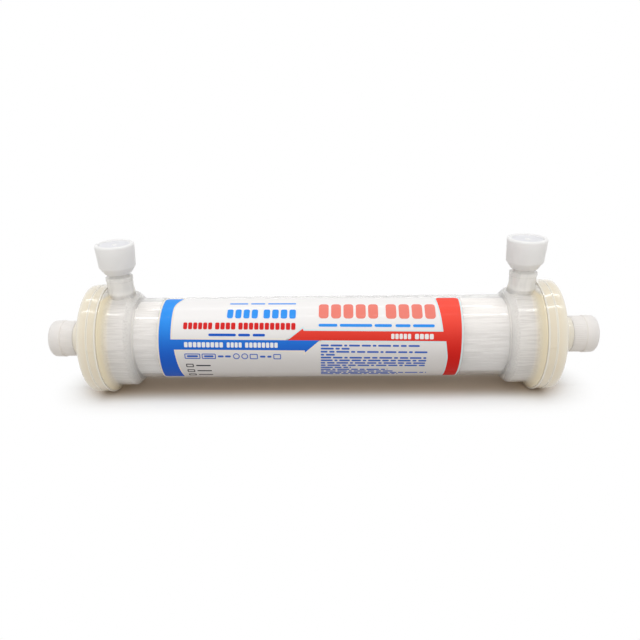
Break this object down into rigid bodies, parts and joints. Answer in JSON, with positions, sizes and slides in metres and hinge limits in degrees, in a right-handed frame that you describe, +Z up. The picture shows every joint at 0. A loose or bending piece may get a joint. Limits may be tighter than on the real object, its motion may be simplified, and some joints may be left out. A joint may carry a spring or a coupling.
{
  "type": "hemodialyzer",
  "caption": "Hollow-fibre dialyser: clear tube of white fibres with a label, flared ends with snap side ports, stepped cream headers and capped ports.",
  "frame": {"origin": "under the middle of the part, on the surface that its header rims rest on", "axes": "+X along the tube towards the end with the red print, +Z up along the side ports, -Y towards the label"},
  "size_m": [0.299, 0.06, 0.084],
  "materials": {
    "clear_housing": "clear glossy polycarbonate",
    "fibre": "packed white hollow fibres, wavy along the tube",
    "label_film": "printed film, white with blue and red fields",
    "potting_resin": "cast amber polyurethane",
    "header_plastic": "translucent cream moulding",
    "seal_rubber": "white silicone",
    "blood_cap_plastic": "milky soft plastic",
    "port_cap_plastic": "milky soft plastic"
  },
  "bodies": {
    "dialyser": {"housing": "clear_housing", "fibre_bundle": "fibre", "label": "label_film", "resin_disc_right": "potting_resin", "header_right": "header_plastic", "seal_ring_right": "seal_rubber", "resin_disc_left": "potting_resin", "header_left": "header_plastic", "seal_ring_left": "seal_rubber"},
    "blood_port_cap_right": {"blood_port_cap_right": "blood_cap_plastic"},
    "dialysate_port_cap_right": {"dialysate_port_cap_right": "port_cap_plastic"},
    "blood_port_cap_left": {"blood_port_cap_left": "blood_cap_plastic"},
    "dialysate_port_cap_left": {"dialysate_port_cap_left": "port_cap_plastic"}
  },
  "joints": [
    {"name": "blood_port_cap_right_pull", "type": "slide", "parent": "dialyser", "child": "blood_port_cap_right", "axis": [1, 0, 0], "range_m": [0, 0.035]},
    {"name": "dialysate_port_cap_right_pull", "type": "slide", "parent": "dialyser", "child": "dialysate_port_cap_right", "axis": [0, 0, 1], "range_m": [0, 0.035]},
    {"name": "blood_port_cap_left_pull", "type": "slide", "parent": "dialyser", "child": "blood_port_cap_left", "axis": [-1, 0, 0], "range_m": [0, 0.035]},
    {"name": "dialysate_port_cap_left_pull", "type": "slide", "parent": "dialyser", "child": "dialysate_port_cap_left", "axis": [0, 0, 1], "range_m": [0, 0.035]}
  ]
}
